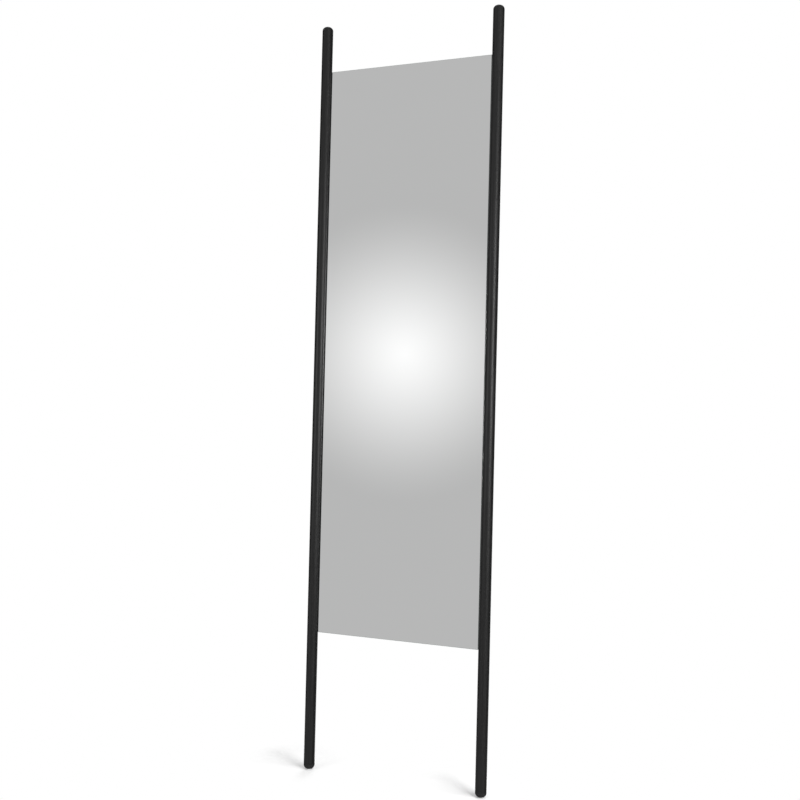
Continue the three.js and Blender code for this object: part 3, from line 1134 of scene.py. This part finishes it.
        def press(points: np.ndarray) -> np.ndarray:
            """Shears the rim so that its face is on the wall, each point as deep under the face as it was."""
            to_wall = (wall - shop.axes.to_room(points)[:, 1]) / math.cos(shop.axes.lean)
            depth = face - points[:, 1]
            slide = np.where(points[:, 1] > seat + FIT / 2, to_wall - depth, 0.0)
            return points + slide[:, None] * np.array([0.0, 1.0, 0.0])

        word, pressed = self.side.word, skin.moved(press)
        shop.finish(f"{word}_bumper", f"{word}_wall_bumper", "black_rubber", pressed, [MouldedRubber()])

    def make_strip(self, shop: Workshop) -> None:
        """The black strip in the joint between the pole and the glass, as tall as the glass."""
        panel = self.panel
        front, back = panel.glass_front, self.shoulder
        x = self.side.value * (panel.glass_width / 2 + FIT + self.strip_thickness / 2)
        halves = (self.strip_thickness / 2, (back - front) / 2)
        section = rounded_rectangle(*halves, self.strip_round, self.strip_round_points)
        half = panel.glass_height / 2
        heights = [-half, -half + self.strip_end, half - self.strip_end, half]
        end = section * self.strip_end_share
        skin = ring_skin(stack([end, section, section, end], heights))
        skin = skin.shifted((x, (front + back) / 2, GLASS_MIDDLE))
        word = self.side.word
        shop.finish(f"{word}_joint_strip", f"{word}_edge_strip", "black_rubber", skin, [MouldedRubber()])

    def build(self, shop: Workshop) -> None:
        """Makes the pole and all that is on it."""
        self.make_pole(shop)
        self.make_foot(shop)
        self.make_bumper(shop)
        self.make_strip(shop)


# ---- The studio ----


@dataclass(frozen=True)
class PhotoCamera:
    """The camera, where the photograph was taken from."""

    lens: float = 49.22
    sensor: float = 36.0
    place: tuple[float, float, float] = (1.0299, -2.4379, 1.0321)
    pitch: float = math.radians(87.545)
    heading: float = math.radians(22.980)

    def set_up(self) -> None:
        """Adds the camera and makes it the scene's."""
        data = bpy.data.cameras.new("photo_camera")
        data.lens = self.lens
        data.sensor_width = self.sensor
        camera = bpy.data.objects.new("photo_camera", data)
        camera.location = self.place
        camera.rotation_euler = (self.pitch, 0.0, self.heading)
        bpy.context.scene.collection.objects.link(camera)
        bpy.context.scene.camera = camera


def toward(azimuth: float, elevation: float) -> np.ndarray:
    """The unit vector at an azimuth to the right of -y and an elevation, both in degrees."""
    a, e = math.radians(azimuth), math.radians(elevation)
    return np.array([math.sin(a) * math.cos(e), -math.cos(a) * math.cos(e), math.sin(e)])


@dataclass(frozen=True)
class StudioWalls:
    """The white background, and the grey surround that the mirror faces.

    The camera, gloss and glass show the background white. The surround stands in front of it on all sides but
    the back, and only reflections show it: soft grey with one round glow, and a dark flag on each side that
    gives the poles their dark edges. The background lights the mirror as the surround would.
    """

    grey: float = 0.548
    glow: float = 0.60  # how much brighter the glow's middle is
    glow_azimuth: float = -22.9
    glow_elevation: float = 6.6
    glow_reach: float = math.radians(7.9)
    flags: tuple[tuple[float, float, float, float], ...] = (
        (124.0, 12.0, 0.60, 0.88),
        (-99.0, 5.0, 0.80, 0.95),
    )  # each flag's azimuth and elevation, and the cosines from its middle where it starts and is dark
    glow_powers: tuple[float, float] = (1.3, 1.6)
    ends: tuple[float, float] = (-136.0, 177.0)  # the azimuths that the surround runs between
    steepest: float = 89.0  # the elevation that it ends at, above and below
    grid: tuple[int, int] = (61, 31)
    distance: float = 400.0  # so far off that all of the mirror has it in the same direction

    def brightness(self, tree: ShaderTree, direction: bpy.types.NodeSocket) -> Value:
        """How bright the studio is in a direction from the mirror.

        The glow is (1 - t^p)^q, where t is the angle from its middle over its reach, and p and q are its
        powers. A flag fades to black over the cosine of the angle from its own middle.

        Args:
            tree: the tree to build in.
            direction: a unit vector.

        Returns:
            The strength of the light from there.
        """
        facing = tree.measured(Vectors.DOT_PRODUCT, direction, toward(self.glow_azimuth, self.glow_elevation))
        angle = tree.maths(Maths.ARCCOSINE, tree.maths(Maths.MINIMUM, facing, 1.0))
        share = tree.maths(Maths.MINIMUM, angle / self.glow_reach, 1.0)
        inner, outer = self.glow_powers
        light = self.grey + self.glow * (1 - share**inner) ** outer
        for azimuth, elevation, start, dark in self.flags:
            facing = tree.measured(Vectors.DOT_PRODUCT, direction, toward(azimuth, elevation))
            light = light * (1 - tree.eased(facing, start, dark))
        return light

    def light_background(self) -> None:
        """Builds the world: white where it shows, and the studio's light where it only lights things."""
        world = bpy.data.worlds.new("studio_background")
        bpy.context.scene.world = world
        tree = ShaderTree(world)
        light = self.brightness(tree, tree.add("ShaderNodeTexCoord").outputs["Generated"])
        lit = tree.white_light("ShaderNodeBackground", light)
        white = tree.white_light("ShaderNodeBackground", 1.0)
        tree.end(tree.mix_shaders(tree.background_rays(), lit, white), "ShaderNodeOutputWorld")

    def surround_material(self, middle: np.ndarray) -> bpy.types.Material:
        """The surround's own glow, by the direction that each point of it is in from the mirror's middle."""
        material = bpy.data.materials.new("studio_surround")
        material.cycles.emission_sampling = "NONE"
        tree = ShaderTree(material)
        place = tree.add("ShaderNodeTexCoord").outputs["Object"]
        away = tree.vector(Vectors.SUBTRACT, place, middle).outputs[0]
        direction = tree.vector(Vectors.NORMALIZE, away).outputs[0]
        tree.end(tree.white_light("ShaderNodeEmission", self.brightness(tree, direction)))
        return material

    def stand_surround(self) -> None:
        """Adds the surround, a sphere about the mirror's middle that is open at the back.

        Point (i, j) is in the direction of azimuth i and elevation j, at the same distance as the others.
        """
        middle = np.array([0.0, 0.0, GLASS_MIDDLE])
        azimuths = np.radians(np.linspace(*self.ends, self.grid[0]))[:, None]
        elevations = np.radians(np.linspace(-self.steepest, self.steepest, self.grid[1]))[None, :]
        directions = np.stack([
            np.sin(azimuths) * np.cos(elevations),
            -np.cos(azimuths) * np.cos(elevations),
            np.broadcast_to(np.sin(elevations), (azimuths.size, elevations.size)),
        ], axis=-1)
        points = middle + self.distance * directions.reshape(-1, 3)
        index = np.arange(len(points)).reshape(directions.shape[:2])
        corners = (index[:-1, :-1], index[:-1, 1:], index[1:, 1:], index[1:, :-1])
        mesh = bpy.data.meshes.new("studio_surround")
        mesh.from_pydata(points.tolist(), [], np.stack(corners, axis=-1).reshape(-1, 4).tolist())
        mesh.materials.append(self.surround_material(middle))
        surround = bpy.data.objects.new("studio_surround", mesh)
        bpy.context.scene.collection.objects.link(surround)
        surround.visible_camera = surround.visible_diffuse = surround.visible_shadow = False
        surround.visible_transmission = surround.visible_volume_scatter = False
        surround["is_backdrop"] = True

    def set_up(self) -> None:
        """Adds the background and the surround."""
        self.light_background()
        self.stand_surround()


@dataclass(frozen=True)
class StudioFloor:
    """A plain white floor that keeps the soft shadows at the mirror's feet."""

    size: float = 12.0
    albedo: float = 0.80
    lift: float = 0.15  # added light, so that the floor is white where nothing shades it
    lift_slope: float = -0.155  # how much more of it there is for each metre to the right
    drift: tuple[float, float] = (-0.055, 0.018)  # from a foot to the middle of its shadow
    clear: float = 0.07  # how far from there the shadow is whole
    plain: float = 0.145  # how far from there the floor is plain white

    def dress(self, feet: Sequence[np.ndarray]) -> bpy.types.Material:
        """Lit paper near the feet, and an even white that matches the background away from them."""
        material = bpy.data.materials.new("studio_floor")
        tree = ShaderTree(material)
        place = tree.add("ShaderNodeTexCoord").outputs["Object"]
        near: Value | None = None
        for foot in feet:
            away = tree.measured(Vectors.DISTANCE, place, foot + np.array([*self.drift, 0.0]))
            mask = 1 - tree.eased(away, self.clear, self.plain)
            near = mask if near is None else tree.maths(Maths.MAXIMUM, near, mask)
        lit = tree.add("ShaderNodeBsdfDiffuse", {}, {"Color": (self.albedo,) * 3}).outputs[0]
        across = tree.value("ShaderNodeSeparateXYZ", {}, {"Vector": place}, "X")
        lift = tree.white_light("ShaderNodeEmission", self.lift + self.lift_slope * across)
        lifted = tree.add("ShaderNodeAddShader", {}, {"Shader": lit, "Shader_001": lift}).outputs[0]
        white = tree.white_light("ShaderNodeEmission", 1.0)
        shown = tree.mix_shaders(near, white, lifted)
        tree.end(tree.mix_shaders(tree.background_rays(), lit, shown))
        return material

    def set_up(self) -> None:
        """Adds the floor, level with the feet's soles and hidden from reflections."""
        half = self.size / 2
        corners = [(-half, -half, 0.0), (half, -half, 0.0), (half, half, 0.0), (-half, half, 0.0)]
        mesh = bpy.data.meshes.new("studio_floor")
        mesh.from_pydata(corners, [], [[0, 1, 2, 3]])
        floor = bpy.data.objects.new("studio_floor", mesh)
        bpy.context.scene.collection.objects.link(floor)
        feet = [self.sole(side) for side in Side]
        mesh.materials.append(self.dress(feet))
        floor.visible_glossy = False
        floor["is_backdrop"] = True

    @staticmethod
    def sole(side: Side) -> np.ndarray:
        """The middle of a foot's sole on the floor."""
        low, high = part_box(f"{side.word}_foot_pad")
        return np.array([(low.x + high.x) / 2, (low.y + high.y) / 2, 0.0])


@dataclass(frozen=True)
class Softbox:
    """An oblong area lamp that faces the mirror."""

    title: str
    azimuth: float
    elevation: float
    distance: float
    width: float
    height: float
    power: float
    aim: tuple[float, float, float] = (0.0, 0.0, 0.95)
    glints: bool = True  # whether gloss shows it

    def set_up(self) -> None:
        """Adds the lamp at its distance from what it is aimed at."""
        data = bpy.data.lights.new(self.title, "AREA")
        data.shape = "RECTANGLE"
        data.size, data.size_y = self.width, self.height
        data.energy = self.power
        lamp = bpy.data.objects.new(self.title, data)
        lamp.visible_glossy = self.glints
        bpy.context.scene.collection.objects.link(lamp)
        away = toward(self.azimuth, self.elevation)
        lamp.location = np.array(self.aim) + self.distance * away
        heading = math.atan2(away[0], -away[1])
        lamp.rotation_euler = (math.pi / 2 - math.asin(away[2]), 0.0, heading)


@dataclass(frozen=True)
class Studio:
    """The floor, the surroundings, the lamps and the camera."""

    walls: StudioWalls = StudioWalls()
    floor: StudioFloor = StudioFloor()
    camera: PhotoCamera = PhotoCamera()
    lamps: tuple[Softbox, ...] = (
        Softbox("side_softbox", 58.0, 7.5, 2.4, 0.85, 0.62, 27.0),
        Softbox("front_softbox", -36.5, 5.0, 2.4, 0.16, 0.8, 7.0),
        Softbox("overhead_softbox", 80.0, 50.0, 3.0, 1.6, 1.6, 50.0, (0.0, 0.0, 0.0), False),
        Softbox("rear_softbox", 196.0, 10.0, 2.6, 1.2, 1.2, 24.0),
    )

    def build(self) -> None:
        """Sets up the studio."""
        self.camera.set_up()
        self.walls.set_up()
        self.floor.set_up()
        for lamp in self.lamps:
            lamp.set_up()
            log.info("lamp %s at %.0f degrees right", lamp.title, lamp.azimuth)
        bpy.context.scene.view_settings.view_transform = "Standard"


def main() -> None:
    """Loads the frame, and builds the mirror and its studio."""
    logging.basicConfig(level=logging.INFO, format="%(name)s: %(message)s")
    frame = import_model()
    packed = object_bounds()
    log.info("the frame holds %d nodes", len(frame["nodes"]))
    Studio().build()
    panel = GlassPanel()
    axes = LeaningAxes.of_glass(LEAN, panel.glass_middle, GLASS_MIDDLE)
    shop = Workshop(axes, np.array([list(corner) for corner in packed]))
    panel.build(shop)
    for side in Side:
        PoleAssembly(side, panel).build(shop)
    log.info("%d pieces made", len(shop.made))


if __name__ == "__main__":
    main()
